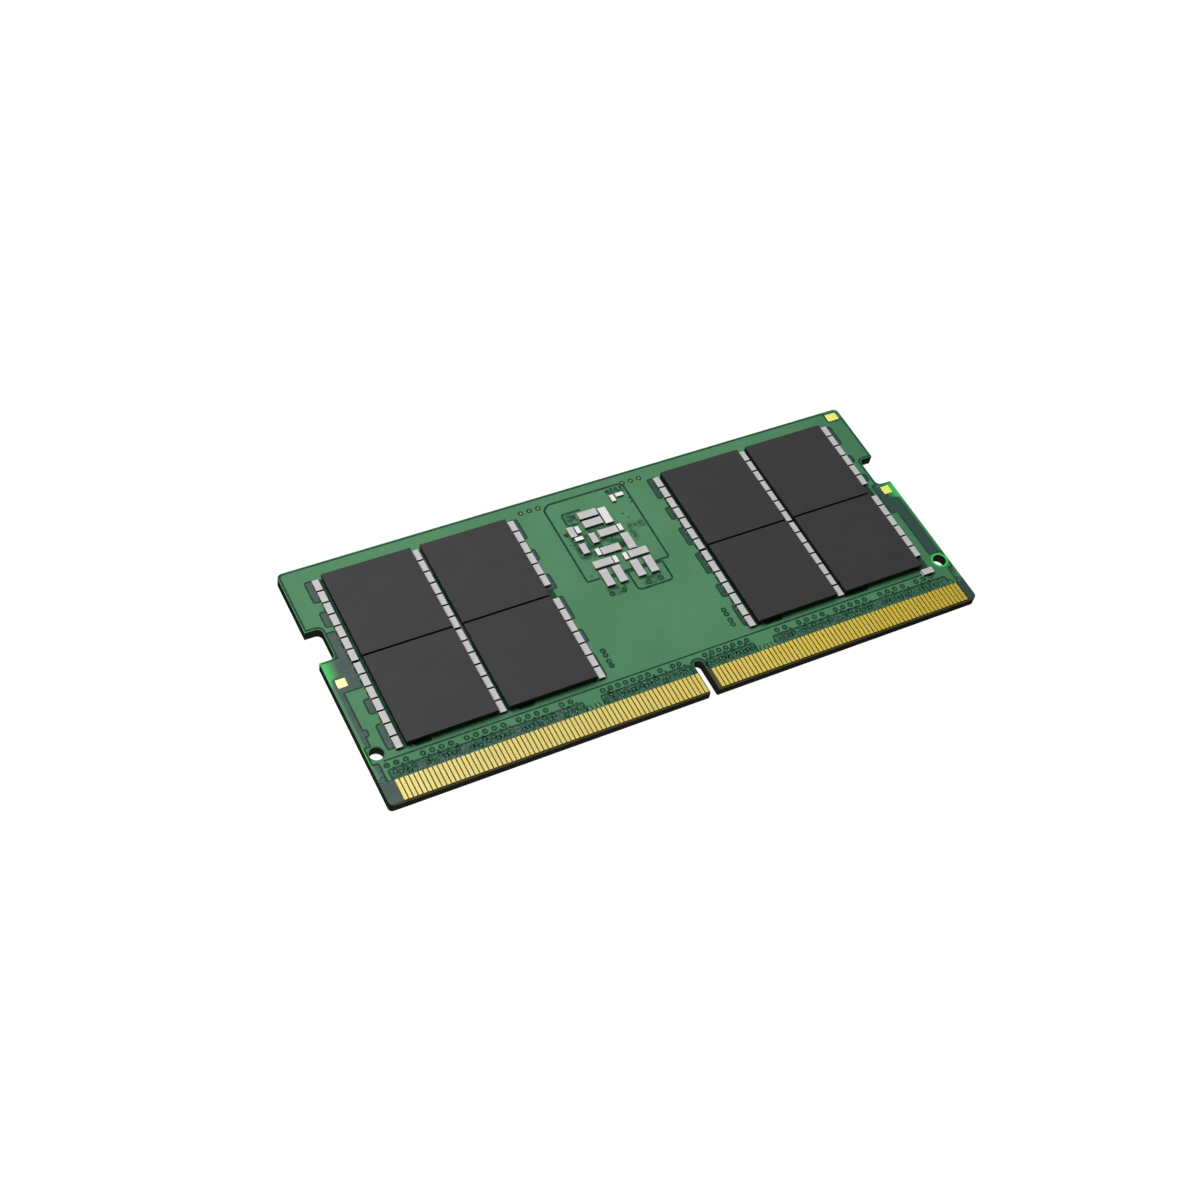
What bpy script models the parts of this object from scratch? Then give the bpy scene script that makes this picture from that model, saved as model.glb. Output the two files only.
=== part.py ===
"""Memory module of the small-outline laptop kind, with 262 edge contacts.

The module lies flat. +X runs along its length, +Y points away from the contact edge, and +Z points
out of the front face. The origin is under the middle of the circuit board, on the surface that the
underside memory packages rest on. Lengths are in millimetres here and become metres in the meshes.
"""

import math

import bmesh
import bpy
from mathutils import Matrix, Vector

MM = 0.001

# Circuit board
BOARD_LENGTH = 69.6
BOARD_WIDTH = 30.0
BOARD_THICKNESS = 1.2
BOARD_CORNER_R = 0.6
EDGE_BEVEL = 0.15
NOTCH_DEPTH = 1.75
NOTCH_LOW_Y = 3.0
NOTCH_HIGH_Y = 7.0
NOTCH_CORNER_R = 0.6
HOLE_X = 33.7
HOLE_Y = -9.0
HOLE_R = 0.75
KEY_X = 1.27
KEY_WIDTH = 1.04
KEY_TOP_Y = -10.98

# Edge contacts, on both faces
CONTACT_PITCH = 0.5
CONTACT_WIDTH = 0.38
CONTACT_THICKNESS = 0.04
CONTACT_TIP_Y = -14.85
CONTACT_ROOT_Y = -12.42
CONTACT_SPINE_Y = -12.26
LONG_ROW = {"first_x": -33.07, "count": 68}
SHORT_ROW = {"first_x": 2.43, "count": 63}

# Memory packages, on both faces
PACKAGE_LENGTH = 10.0
PACKAGE_WIDTH = 11.0
PACKAGE_BODY = 0.52
PACKAGE_STANDOFF = 0.28
PACKAGE_EDGE_R = 0.04
PACKAGE_COLUMNS = (-25.68, -14.58, 14.73, 25.82)
PACKAGE_ROWS = (7.40, -3.80)
BALL_FIELD = (2.0, 9.2)
BALL_FIELD_X = 2.6

# Chip capacitors in columns beside the packages
CAP_SIZE = (0.74, 1.39, 0.32)
CAP_PITCH = 1.586
CAP_TOP_Y = 12.73
CAPS_PER_PACKAGE = 7
CAP_STRIP_WIDTH = 0.3
CAP_STRIP_HEIGHT = 0.1

# Loose chip parts: length, width and height of each size
LARGE_CHIP = (2.25, 0.95, 0.34)
MEDIUM_CHIP = (1.40, 0.75, 0.32)
SMALL_CHIP = (0.95, 0.50, 0.25)
CHIP_CAP_SHARE = 0.22
CHIP_WAIST = 0.02

# A soldered piece stands this far off the face under it.
SOLDER_GAP = 0.02

BOARD_BOTTOM = PACKAGE_BODY + PACKAGE_STANDOFF
BOARD_TOP = BOARD_BOTTOM + BOARD_THICKNESS
FRONT, BACK = 1, -1


def clear_scene():
    for old in list(bpy.data.objects):
        bpy.data.objects.remove(old, do_unlink=True)


def make_material(name, color, roughness, metallic=0.0):
    material = bpy.data.materials.new(name)
    material.use_nodes = True
    shader = material.node_tree.nodes["Principled BSDF"]
    shader.inputs["Base Color"].default_value = (*color, 1.0)
    shader.inputs["Roughness"].default_value = roughness
    shader.inputs["Metallic"].default_value = metallic
    return material


def new_object(name, bm, material):
    """Turn a bmesh in millimetres into an object whose mesh is in metres."""
    bmesh.ops.scale(bm, vec=(MM, MM, MM), verts=bm.verts)
    bmesh.ops.recalc_face_normals(bm, faces=bm.faces)
    mesh = bpy.data.meshes.new(name)
    bm.to_mesh(mesh)
    bm.free()
    obj = bpy.data.objects.new(name, mesh)
    obj.data.materials.append(material)
    bpy.context.scene.collection.objects.link(obj)
    return obj


def copy_object(original, name, x, y, z, side=FRONT):
    """Another object on the same mesh; on the back it is turned over about X."""
    obj = bpy.data.objects.new(name, original.data)
    obj.location = (x * MM, y * MM, z * MM)
    obj.rotation_euler = (0.0 if side == FRONT else math.pi, 0.0, 0.0)
    bpy.context.scene.collection.objects.link(obj)
    return obj


def face_height(side, lift):
    """Height of a point that stands lift above the board's front or back face."""
    return BOARD_TOP + lift if side == FRONT else BOARD_BOTTOM - lift


def arc(center, radius, start_deg, end_deg, steps):
    angles = [math.radians(start_deg + (end_deg - start_deg) * i / steps) for i in range(steps + 1)]
    return [(center[0] + radius * math.cos(a), center[1] + radius * math.sin(a)) for a in angles]


def rounded_outline(x0, x1, y0, y1, radius, steps=6):
    r = radius
    return (
        arc((x1 - r, y0 + r), r, -90, 0, steps)
        + arc((x1 - r, y1 - r), r, 0, 90, steps)
        + arc((x0 + r, y1 - r), r, 90, 180, steps)
        + arc((x0 + r, y0 + r), r, 180, 270, steps)
    )


def prism(points, z0, z1):
    """A closed slab with the given outline."""
    bm = bmesh.new()
    face = bm.faces.new([bm.verts.new((x, y, z0)) for x, y in points])
    grown = bmesh.ops.extrude_face_region(bm, geom=[face])
    lifted = [item for item in grown["geom"] if isinstance(item, bmesh.types.BMVert)]
    bmesh.ops.translate(bm, verts=lifted, vec=(0, 0, z1 - z0))
    return bm


def block(length, width, height, edge_r=0.0):
    """A box on z = 0, centred in x and y, with its edges taken off by edge_r."""
    bm = bmesh.new()
    size = Matrix.Diagonal((length, width, height, 1.0))
    place = Matrix.Translation((0, 0, height / 2))
    bmesh.ops.create_cube(bm, size=1.0, matrix=place @ size)
    if edge_r:
        bmesh.ops.bevel(bm, geom=list(bm.edges), offset=edge_r, segments=1, affect="EDGES")
    return bm


def cut(target, cutter, name):
    """Subtract cutter from target when the object is evaluated."""
    cutter.hide_render = True
    cutter.display_type = "WIRE"
    modifier = target.modifiers.new(name, "BOOLEAN")
    modifier.operation = "DIFFERENCE"
    modifier.solver = "EXACT"
    modifier.object = cutter


def build_board(laminate):
    """The laminated board: rounded plate, two latch notches, two holes, key slot, bevelled edge."""
    half_x, half_y = BOARD_LENGTH / 2, BOARD_WIDTH / 2
    outline = rounded_outline(-half_x, half_x, -half_y, half_y, BOARD_CORNER_R)
    board = new_object("circuit_board", prism(outline, BOARD_BOTTOM, BOARD_TOP), laminate)
    low, high = BOARD_BOTTOM - 1.0, BOARD_TOP + 1.0
    for side, label in ((-1, "left"), (1, "right")):
        inner, outer = side * (half_x - NOTCH_DEPTH), side * (half_x + 3.0)
        x0, x1 = min(inner, outer), max(inner, outer)
        notch = rounded_outline(x0, x1, NOTCH_LOW_Y, NOTCH_HIGH_Y, NOTCH_CORNER_R)
        cut(board, new_object(f"cutter_{label}_notch", prism(notch, low, high), laminate), f"{label} notch")
        hole = arc((side * HOLE_X, HOLE_Y), HOLE_R, 0, 345, 23)
        cut(board, new_object(f"cutter_{label}_hole", prism(hole, low, high), laminate), f"{label} hole")
    slot_r = KEY_WIDTH / 2
    slot = arc((KEY_X, KEY_TOP_Y - slot_r), slot_r, 0, 180, 12)
    slot += [(KEY_X - slot_r, -half_y - 1.0), (KEY_X + slot_r, -half_y - 1.0)]
    cut(board, new_object("cutter_key_slot", prism(slot, low, high), laminate), "key slot")
    for side, label in ((FRONT, "front"), (BACK, "back")):
        cut(board, edge_wedge(f"cutter_{label}_bevel", side, laminate), f"{label} bevel")


def edge_wedge(name, side, material):
    """The prism that takes one long corner off the contact edge."""
    edge_y = -BOARD_WIDTH / 2
    reach = 2 * EDGE_BEVEL
    face_z = face_height(side, 0.0)
    corner = [
        (edge_y - reach, face_z + side * reach),
        (edge_y + EDGE_BEVEL + reach, face_z + side * reach),
        (edge_y - reach, face_z - side * (EDGE_BEVEL + reach)),
    ]
    half_run = BOARD_LENGTH / 2 + 1.0
    bm = bmesh.new()
    face = bm.faces.new([bm.verts.new((-half_run, y, z)) for y, z in corner])
    grown = bmesh.ops.extrude_face_region(bm, geom=[face])
    moved = [item for item in grown["geom"] if isinstance(item, bmesh.types.BMVert)]
    bmesh.ops.translate(bm, verts=moved, vec=(2 * half_run, 0, 0))
    return new_object(name, bm, material)


def build_contact_rows(gold):
    """Four rows of plated fingers; each row hangs on a thin strip at the fingers' inner ends."""
    for side, face_name in ((FRONT, "front"), (BACK, "back")):
        z0 = face_height(side, SOLDER_GAP)
        z1 = face_height(side, SOLDER_GAP + CONTACT_THICKNESS)
        for row, row_name in ((LONG_ROW, "long"), (SHORT_ROW, "short")):
            outline = contact_row_outline(row["first_x"], row["count"])
            new_object(f"contacts_{face_name}_{row_name}", prism(outline, min(z0, z1), max(z0, z1)), gold)


def contact_row_outline(first_x, count):
    half = CONTACT_WIDTH / 2
    last_x = first_x + (count - 1) * CONTACT_PITCH
    points = [(last_x + half, CONTACT_SPINE_Y), (first_x - half, CONTACT_SPINE_Y)]
    for i in range(count):
        left, right = first_x + i * CONTACT_PITCH - half, first_x + i * CONTACT_PITCH + half
        if i > 0:
            points.append((left, CONTACT_ROOT_Y))
        points += [(left, CONTACT_TIP_Y), (right, CONTACT_TIP_Y)]
        if i < count - 1:
            points.append((right, CONTACT_ROOT_Y))
    return points


def package_mesh():
    """Moulded body on two blocks that stand for the groups of solder balls, seen from the front."""
    bm = block(PACKAGE_LENGTH, PACKAGE_WIDTH, PACKAGE_BODY, PACKAGE_EDGE_R)
    bmesh.ops.translate(bm, verts=bm.verts, vec=(0, 0, PACKAGE_STANDOFF))
    half_w, half_h = BALL_FIELD[0] / 2, BALL_FIELD[1] / 2
    cuts = [("X", sign * BALL_FIELD_X + edge * half_w) for sign in (-1, 1) for edge in (-1, 1)]
    cuts += [("Y", edge * half_h) for edge in (-1, 1)]
    for axis, at in cuts:
        floor = [f for f in bm.faces if f.normal.z < -0.99]
        geom = floor + list({e for f in floor for e in f.edges}) + list({v for f in floor for v in f.verts})
        normal = Vector((1, 0, 0)) if axis == "X" else Vector((0, 1, 0))
        bmesh.ops.bisect_plane(bm, geom=geom, dist=1e-6, plane_co=normal * at, plane_no=normal)
    for sign in (-1, 1):
        field = [f for f in bm.faces if f.normal.z < -0.99 and in_field(f.calc_center_median(), sign)]
        grown = bmesh.ops.extrude_face_region(bm, geom=field)
        moved = [item for item in grown["geom"] if isinstance(item, bmesh.types.BMVert)]
        bmesh.ops.delete(bm, geom=field, context="FACES")
        bmesh.ops.translate(bm, verts=moved, vec=(0, 0, SOLDER_GAP - PACKAGE_STANDOFF))
    return bm


def in_field(point, sign):
    inside_x = abs(point.x - sign * BALL_FIELD_X) < BALL_FIELD[0] / 2
    return inside_x and abs(point.y) < BALL_FIELD[1] / 2


def build_memory_packages(resin):
    """Eight packages on each face, back to back."""
    pattern = new_object("memory_package_front_1", package_mesh(), resin)
    places = [(x, y) for y in PACKAGE_ROWS for x in PACKAGE_COLUMNS]
    pattern.location = (places[0][0] * MM, places[0][1] * MM, BOARD_TOP * MM)
    for number, (x, y) in enumerate(places, start=1):
        if number > 1:
            copy_object(pattern, f"memory_package_front_{number}", x, y, BOARD_TOP)
        copy_object(pattern, f"memory_package_back_{number}", x, y, BOARD_BOTTOM, BACK)


def chip_mesh(size):
    """A chip part along x: two metal end caps and a body that is a hair thinner between them."""
    length, width, height = size
    bm = block(length, width, height)
    inner = length * (0.5 - CHIP_CAP_SHARE)
    for at in (-inner, -inner + CHIP_WAIST, inner - CHIP_WAIST, inner):
        geom = list(bm.verts) + list(bm.edges) + list(bm.faces)
        bmesh.ops.bisect_plane(bm, geom=geom, dist=1e-6, plane_co=(at, 0, 0), plane_no=(1, 0, 0))
    for vert in bm.verts:
        if abs(vert.co.x) < inner - CHIP_WAIST / 2:
            vert.co.y -= math.copysign(CHIP_WAIST, vert.co.y)
            vert.co.z += CHIP_WAIST if vert.co.z < height / 2 else -CHIP_WAIST
    return bm


def build_centre_chips(ceramic, cermet):
    """Loose capacitors and resistors in the middle of the front face: name, size, x, y, turned."""
    chips = (
        ("input_capacitor_1", LARGE_CHIP, -0.55, 10.72, False),
        ("input_capacitor_2", LARGE_CHIP, -0.55, 9.46, False),
        ("shunt_resistor", LARGE_CHIP, 1.23, 9.87, True),
        ("filter_capacitor_1", MEDIUM_CHIP, -3.35, 8.99, True),
        ("bias_resistor_1", SMALL_CHIP, -2.55, 9.12, True),
        ("bias_resistor_2", SMALL_CHIP, -2.95, 7.95, False),
        ("filter_capacitor_2", MEDIUM_CHIP, -3.08, 6.48, True),
        ("filter_capacitor_3", MEDIUM_CHIP, -1.43, 7.46, True),
        ("output_capacitor_1", LARGE_CHIP, 0.46, 7.73, False),
        ("bias_resistor_3", SMALL_CHIP, 2.02, 7.83, True),
        ("output_capacitor_2", LARGE_CHIP, 1.98, 5.79, True),
        ("bias_resistor_4", SMALL_CHIP, -1.82, 5.58, True),
        ("output_capacitor_3", LARGE_CHIP, -0.37, 5.44, False),
        ("output_capacitor_4", LARGE_CHIP, -2.06, 4.01, False),
        ("bias_resistor_5", SMALL_CHIP, -0.52, 4.03, True),
        ("bias_resistor_6", SMALL_CHIP, 0.72, 4.03, True),
        ("output_capacitor_5", LARGE_CHIP, 2.25, 4.01, False),
        ("bulk_capacitor_1", LARGE_CHIP, -2.58, 2.06, True),
        ("bulk_capacitor_2", LARGE_CHIP, -1.02, 2.06, True),
        ("bulk_capacitor_3", LARGE_CHIP, 1.18, 2.06, True),
        ("bulk_capacitor_4", LARGE_CHIP, 2.78, 2.06, True),
        ("bias_resistor_7", SMALL_CHIP, 3.17, 11.83, True),
        ("bias_resistor_8", SMALL_CHIP, 4.12, 12.09, False),
        ("corner_capacitor", MEDIUM_CHIP, 31.35, -9.98, False),
    )
    for name, size, x, y, turned in chips:
        material = cermet if "resistor" in name else ceramic
        chip = new_object(name, chip_mesh(size), material)
        chip.location = (x * MM, y * MM, face_height(FRONT, SOLDER_GAP) * MM)
        chip.rotation_euler.z = math.pi / 2 if turned else 0.0


def build_capacitor_columns(ceramic):
    """Columns of capacitors beside the packages; a thin strip holds each column together."""
    full = tuple(range(14))
    columns = (
        ("left_outer", -31.42, full),
        ("left_middle", -20.20, full),
        ("left_inner", -9.00, tuple(i for i in full if i != 6)),
        ("right_inner", 9.07, full),
        ("right_middle", 20.30, full),
        ("right_outer", 31.48, tuple(i for i in full if i not in (6, 13))),
    )
    for name, x, slots in columns:
        add_capacitor_column(f"capacitors_front_{name}", x, slots, FRONT, ceramic)
    for name, x, slots in (columns[0], columns[1], columns[4], columns[5]):
        add_capacitor_column(f"capacitors_back_{name}", x, slots, BACK, ceramic)


def add_capacitor_column(name, x, slots, side, material):
    """The slots count down from the top, seven beside each row of packages."""
    width, length, height = CAP_SIZE
    row_step = PACKAGE_ROWS[0] - PACKAGE_ROWS[1]
    spans = []
    for slot in reversed(slots):
        row, place = divmod(slot, CAPS_PER_PACKAGE)
        top = CAP_TOP_Y - row * row_step - place * CAP_PITCH
        spans.append((top - length, top))
    profile = [(spans[0][0], 0.0), (spans[-1][1], 0.0)]
    for low, high in reversed(spans):
        profile += [(high, height), (low, height)]
        if low != spans[0][0]:
            below = max(span[1] for span in spans if span[1] < low)
            profile += [(low, CAP_STRIP_HEIGHT), (below, CAP_STRIP_HEIGHT)]
    base = face_height(side, SOLDER_GAP)
    bm = bmesh.new()
    verts = [bm.verts.new((x - width / 2, y, base + side * z)) for y, z in profile]
    grown = bmesh.ops.extrude_face_region(bm, geom=[bm.faces.new(verts)])
    moved = [item for item in grown["geom"] if isinstance(item, bmesh.types.BMVert)]
    bmesh.ops.translate(bm, verts=moved, vec=(width, 0, 0))
    new_object(name, bm, material)


def build_back_centre(resin, ferrite):
    """Power and hub chips with their three inductors, in the middle of the underside."""
    pieces = (
        ("power_controller", (4.0, 5.0, 0.60), 0.05, -0.2, 6.6, resin),
        ("hub_chip", (2.0, 3.0, 0.50), 0.05, 0.6, -1.6, resin),
        ("inductor_1", (2.5, 2.0, 0.70), 0.15, -4.9, 9.0, ferrite),
        ("inductor_2", (2.5, 2.0, 0.70), 0.15, -4.9, 4.6, ferrite),
        ("inductor_3", (2.5, 2.0, 0.70), 0.15, 4.6, 6.8, ferrite),
    )
    for name, size, edge_r, x, y, material in pieces:
        piece = new_object(name, block(*size, edge_r), material)
        piece.location = (x * MM, y * MM, face_height(BACK, SOLDER_GAP) * MM)
        piece.rotation_euler.x = math.pi


clear_scene()
green_mask = make_material("green_solder_mask", (0.07, 0.25, 0.11), 0.4)
gold_plate = make_material("gold_plate", (0.75, 0.62, 0.18), 0.3, 1.0)
black_resin = make_material("black_resin", (0.045, 0.043, 0.045), 0.6)
grey_ceramic = make_material("grey_ceramic", (0.62, 0.60, 0.62), 0.45)
white_cermet = make_material("white_cermet", (0.88, 0.87, 0.87), 0.4)
dark_ferrite = make_material("dark_ferrite", (0.06, 0.06, 0.065), 0.5)

build_board(green_mask)
build_contact_rows(gold_plate)
build_memory_packages(black_resin)
build_centre_chips(grey_ceramic, white_cermet)
build_capacitor_columns(grey_ceramic)
build_back_centre(black_resin, dark_ferrite)
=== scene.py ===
import math
import random

import bpy
from mathutils import Matrix, Quaternion, Vector


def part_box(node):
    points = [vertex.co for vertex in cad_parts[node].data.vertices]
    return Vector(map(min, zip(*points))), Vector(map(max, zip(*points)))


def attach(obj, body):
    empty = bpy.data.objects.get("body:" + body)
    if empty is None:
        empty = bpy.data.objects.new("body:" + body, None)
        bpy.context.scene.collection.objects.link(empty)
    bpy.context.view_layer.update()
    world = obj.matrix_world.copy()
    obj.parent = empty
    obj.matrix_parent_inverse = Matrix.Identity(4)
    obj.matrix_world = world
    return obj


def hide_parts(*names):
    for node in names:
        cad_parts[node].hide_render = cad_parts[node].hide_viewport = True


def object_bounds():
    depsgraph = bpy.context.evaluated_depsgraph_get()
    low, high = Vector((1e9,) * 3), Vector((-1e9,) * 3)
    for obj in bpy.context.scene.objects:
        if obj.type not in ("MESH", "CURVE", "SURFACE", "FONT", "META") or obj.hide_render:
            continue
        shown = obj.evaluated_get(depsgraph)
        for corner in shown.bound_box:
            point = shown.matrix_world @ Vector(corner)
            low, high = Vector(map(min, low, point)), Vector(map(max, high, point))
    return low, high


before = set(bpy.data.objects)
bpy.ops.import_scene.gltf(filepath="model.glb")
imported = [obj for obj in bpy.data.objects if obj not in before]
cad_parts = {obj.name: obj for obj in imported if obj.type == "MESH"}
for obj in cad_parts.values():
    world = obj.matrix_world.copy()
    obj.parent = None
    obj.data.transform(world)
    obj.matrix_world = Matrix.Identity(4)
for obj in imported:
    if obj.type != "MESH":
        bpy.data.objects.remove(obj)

cad_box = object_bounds()


# ---------------------------------------------------------------------------------------------
# Camera. It stands above the module's lower left and looks over it towards the far right corner,
# a little turned about its own line of sight.
mm = 0.001
board_low, board_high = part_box("circuit_board")
stand = Vector((-76.10, -94.54, 149.36)) * mm + Vector((0, 0, board_high.z))
aim = Vector((-4.54, -0.17, 0.0)) * mm + Vector((0, 0, board_high.z))

bpy.ops.object.select_all(action="DESELECT")
bpy.ops.object.camera_add(location=stand)
camera = bpy.context.object
camera.name = "studio_camera"
camera.rotation_mode = "QUATERNION"
roll_degrees = 12.66
roll = Quaternion((0, 0, 1), math.radians(roll_degrees))
camera.rotation_quaternion = (aim - stand).to_track_quat("-Z", "Y") @ roll
camera.data.lens = 54.19
camera.data.sensor_width = 36.0
camera.data.clip_start = 0.005
camera.data.clip_end = 20.0
bpy.context.scene.camera = camera


# ---------------------------------------------------------------------------------------------
# Floor and light. The floor is a white sheet lit from below, as on a product table, so nothing
# throws a shadow on it. One soft box hangs over the module's far left, one stands beyond its far
# corner for the gold to mirror, and one under the table lights the back face.
bpy.context.scene.view_settings.view_transform = "Standard"
bpy.context.scene.view_settings.look = "None"


def node(tree, kind, fed=None, **settings):
    """Adds a node, sets it up, and feeds its inputs with numbers, colours or other nodes."""
    made = tree.nodes.new("ShaderNode" + kind)
    for key, value in settings.items():
        setattr(made, key, value)
    for key, value in (fed or {}).items():
        if isinstance(value, bpy.types.Node):
            value = value.outputs[0]
        if isinstance(value, bpy.types.NodeSocket):
            tree.links.new(value, made.inputs[key])
        else:
            made.inputs[key].default_value = value
    return made


def settle(piece):
    """Puts a piece's place, turn and size into its mesh."""
    bpy.ops.object.select_all(action="DESELECT")
    piece.select_set(True)
    bpy.context.view_layer.objects.active = piece
    bpy.ops.object.transform_apply(location=True, rotation=True, scale=True)


def soft_box(name, place, size, brightness):
    """Hangs a square soft light at a place, turned to the module."""
    bpy.ops.object.light_add(type="AREA", location=place)
    light = bpy.context.object
    light.name = name
    light.data.shape = "SQUARE"
    light.data.size = size
    light.data.energy = brightness * math.pi * size * size
    light.rotation_mode = "QUATERNION"
    light.rotation_quaternion = (-Vector(place)).to_track_quat("-Z", "Y")


def two_strengths(tree, cast, seen):
    """One strength for the light that a surface casts, and another for how bright it looks."""
    path = node(tree, "LightPath")
    ends = {"Value": path.outputs["Is Camera Ray"], "To Min": cast, "To Max": seen}
    return path, node(tree, "MapRange", ends)


white = (1, 1, 1, 1)
table_size = 8.0
table_drop = 0.05 * mm
bpy.ops.mesh.primitive_plane_add(size=table_size, location=(0, 0, cad_box[0].z - table_drop))
floor = bpy.context.object
floor.name = "light_table"
settle(floor)
sheet = bpy.data.materials.new("lit_white_sheet")
sheet.use_nodes = True
tree = sheet.node_tree
tree.nodes.clear()
path, strength = two_strengths(tree, 0.06, 1.05)
shining = node(tree, "Emission", {"Color": white, "Strength": strength})
clear = node(tree, "BsdfTransparent")
from_below = node(tree, "NewGeometry").outputs["Backfacing"]
either = {0: from_below, 1: path.outputs["Is Shadow Ray"]}
let_through = node(tree, "Math", either, operation="MAXIMUM")
surface = node(tree, "MixShader", {"Fac": let_through, 1: shining, 2: clear})
node(tree, "OutputMaterial", {"Surface": surface})
floor.data.materials.append(sheet)

room = bpy.data.worlds.new("white_room")
bpy.context.scene.world = room
room.use_nodes = True
tree = room.node_tree
tree.nodes.clear()
path, strength = two_strengths(tree, 0.05, 1.0)
air = node(tree, "Background", {"Color": white, "Strength": strength})
node(tree, "OutputWorld", {"Surface": air})

soft_box("overhead_light", (-0.14, 0.12, 0.30), 0.25, 5.4)
soft_box("far_corner_light", (0.15, 0.34, 0.44), 0.48, 1.30)
soft_box("underside_light", (-0.05, -0.10, -0.40), 0.40, 3.0)


# ---------------------------------------------------------------------------------------------
# Circuit board. Glass cloth and resin pressed into a 1.2 mm sheet, routed to shape and printed
# green on both faces, with bare laminate where the contacts are. Its CAD shape is kept.
def paint(red, green, blue):
    """A paint-chart colour, 0 to 255, as the shader wants it."""
    parts = [part / 255 for part in (red, green, blue)]
    linear = [p / 12.92 if p <= 0.04045 else ((p + 0.055) / 1.055) ** 2.4 for p in parts]
    return (*linear, 1.0)


def new_finish(name, rough, metal=0.0, gloss=0.5):
    """Starts a material and returns it with its node tree, its shader and millimetre coordinates."""
    finish = bpy.data.materials.new(name)
    finish.use_nodes = True
    tree = finish.node_tree
    shader = tree.nodes["Principled BSDF"]
    shader.inputs["Roughness"].default_value = rough
    shader.inputs["Metallic"].default_value = metal
    shader.inputs["Specular IOR Level"].default_value = gloss
    place = node(tree, "TexCoord")
    measured = node(tree, "Mapping", {"Vector": place.outputs["Object"], "Scale": (1000, 1000, 1000)})
    return finish, tree, shader, measured.outputs[0]


def sums(tree, operation, first, second=0.0, third=0.0):
    """One arithmetic node."""
    return node(tree, "Math", {0: first, 1: second, 2: third}, operation=operation)


def times(tree, first, second):
    """One value times another."""
    return sums(tree, "MULTIPLY", first, second)


def larger(tree, first, second):
    """The larger of two values."""
    return sums(tree, "MAXIMUM", first, second)


def blend_colours(tree, share, first, second, way="MIX"):
    """Mixes two colours by a share from 0 to 1."""
    return node(tree, "MixRGB", {"Fac": share, "Color1": first, "Color2": second}, blend_type=way)


def ramp(tree, value, low, high, low_out=0.0, high_out=1.0):
    """A smooth step of a value between two limits."""
    fed = {"Value": value, "From Min": low, "From Max": high, "To Min": low_out, "To Max": high_out}
    return node(tree, "MapRange", fed, interpolation_type="SMOOTHSTEP")


def band(tree, value, low, high, soft):
    """One between two limits and zero outside them, with soft ends."""
    rise = ramp(tree, value, low - soft, low + soft)
    fall = ramp(tree, value, high - soft, high + soft, 1.0, 0.0)
    return times(tree, rise, fall)


def coat(tree, shader, colour, rough):
    """Feeds a colour and a roughness to the shader."""
    tree.links.new(colour.outputs[0], shader.inputs["Base Color"])
    tree.links.new(rough.outputs[0], shader.inputs["Roughness"])


def bumps(tree, shader, height, depth, strength):
    """Feeds a height pattern to the shader as relief; depth is in metres."""
    relief = node(tree, "Bump", {"Height": height, "Distance": depth, "Strength": strength})
    tree.links.new(relief.outputs[0], shader.inputs["Normal"])


def cloth_weave(tree, place, pitch):
    """The over and under of glass cloth that prints through the resin, from -1 to 1."""
    parts = node(tree, "SeparateXYZ", {"Vector": place})
    turns = 2 * math.pi / pitch
    across = sums(tree, "SINE", times(tree, parts.outputs["X"], turns))
    along = sums(tree, "SINE", times(tree, parts.outputs["Y"], turns))
    return times(tree, across, along)


half_length, half_width = board_high.x / mm, board_high.y / mm
hole_across, hole_along = 33.7, -9.0
notch_along = 5.0
weave_pitch = 0.42
matt_mask = 0.12
laminate, tree, shader, place = new_finish("masked_laminate", 0.42, 0.0, matt_mask)
parts = node(tree, "SeparateXYZ", {"Vector": place})
x, y, z = parts.outputs["X"], parts.outputs["Y"], parts.outputs["Z"]
from_middle = sums(tree, "ABSOLUTE", x)
cloudy = node(tree, "TexNoise", {"Vector": place, "Scale": 0.9, "Detail": 3.0})
grainy = node(tree, "TexNoise", {"Vector": place, "Scale": 7.0, "Detail": 4.0})
weave = cloth_weave(tree, place, weave_pitch)

# Mask over bare laminate, flecked with copper where the fan-out lies.
deep = blend_colours(tree, ramp(tree, cloudy, 0.35, 0.65), paint(81, 92, 90), paint(87, 101, 102))
# Painted shade: the bare mask is painted darker toward the right end, where the light falls off.
deep = blend_colours(tree, ramp(tree, x, -34, 20), deep, paint(46, 74, 71))
fanned = times(tree, ramp(tree, y, -12.4, -12.3), ramp(tree, y, -10.9, -10.7, 1.0, 0.0))
flecked = node(tree, "TexNoise", {"Vector": place, "Scale": 3.6, "Detail": 5.0, "Roughness": 0.7})
fleck_pale = blend_colours(tree, ramp(tree, x, -30, 20), paint(108, 116, 128), paint(86, 128, 110))
fleck_tone = blend_colours(tree, ramp(tree, flecked, 0.45, 0.56), fleck_pale, paint(28, 80, 54))
deep = blend_colours(tree, times(tree, fanned, 0.9), deep, fleck_tone)
speckled = blend_colours(tree, ramp(tree, grainy, 0.42, 0.6, 0.0, 0.5), deep, paint(70, 100, 86))
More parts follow.
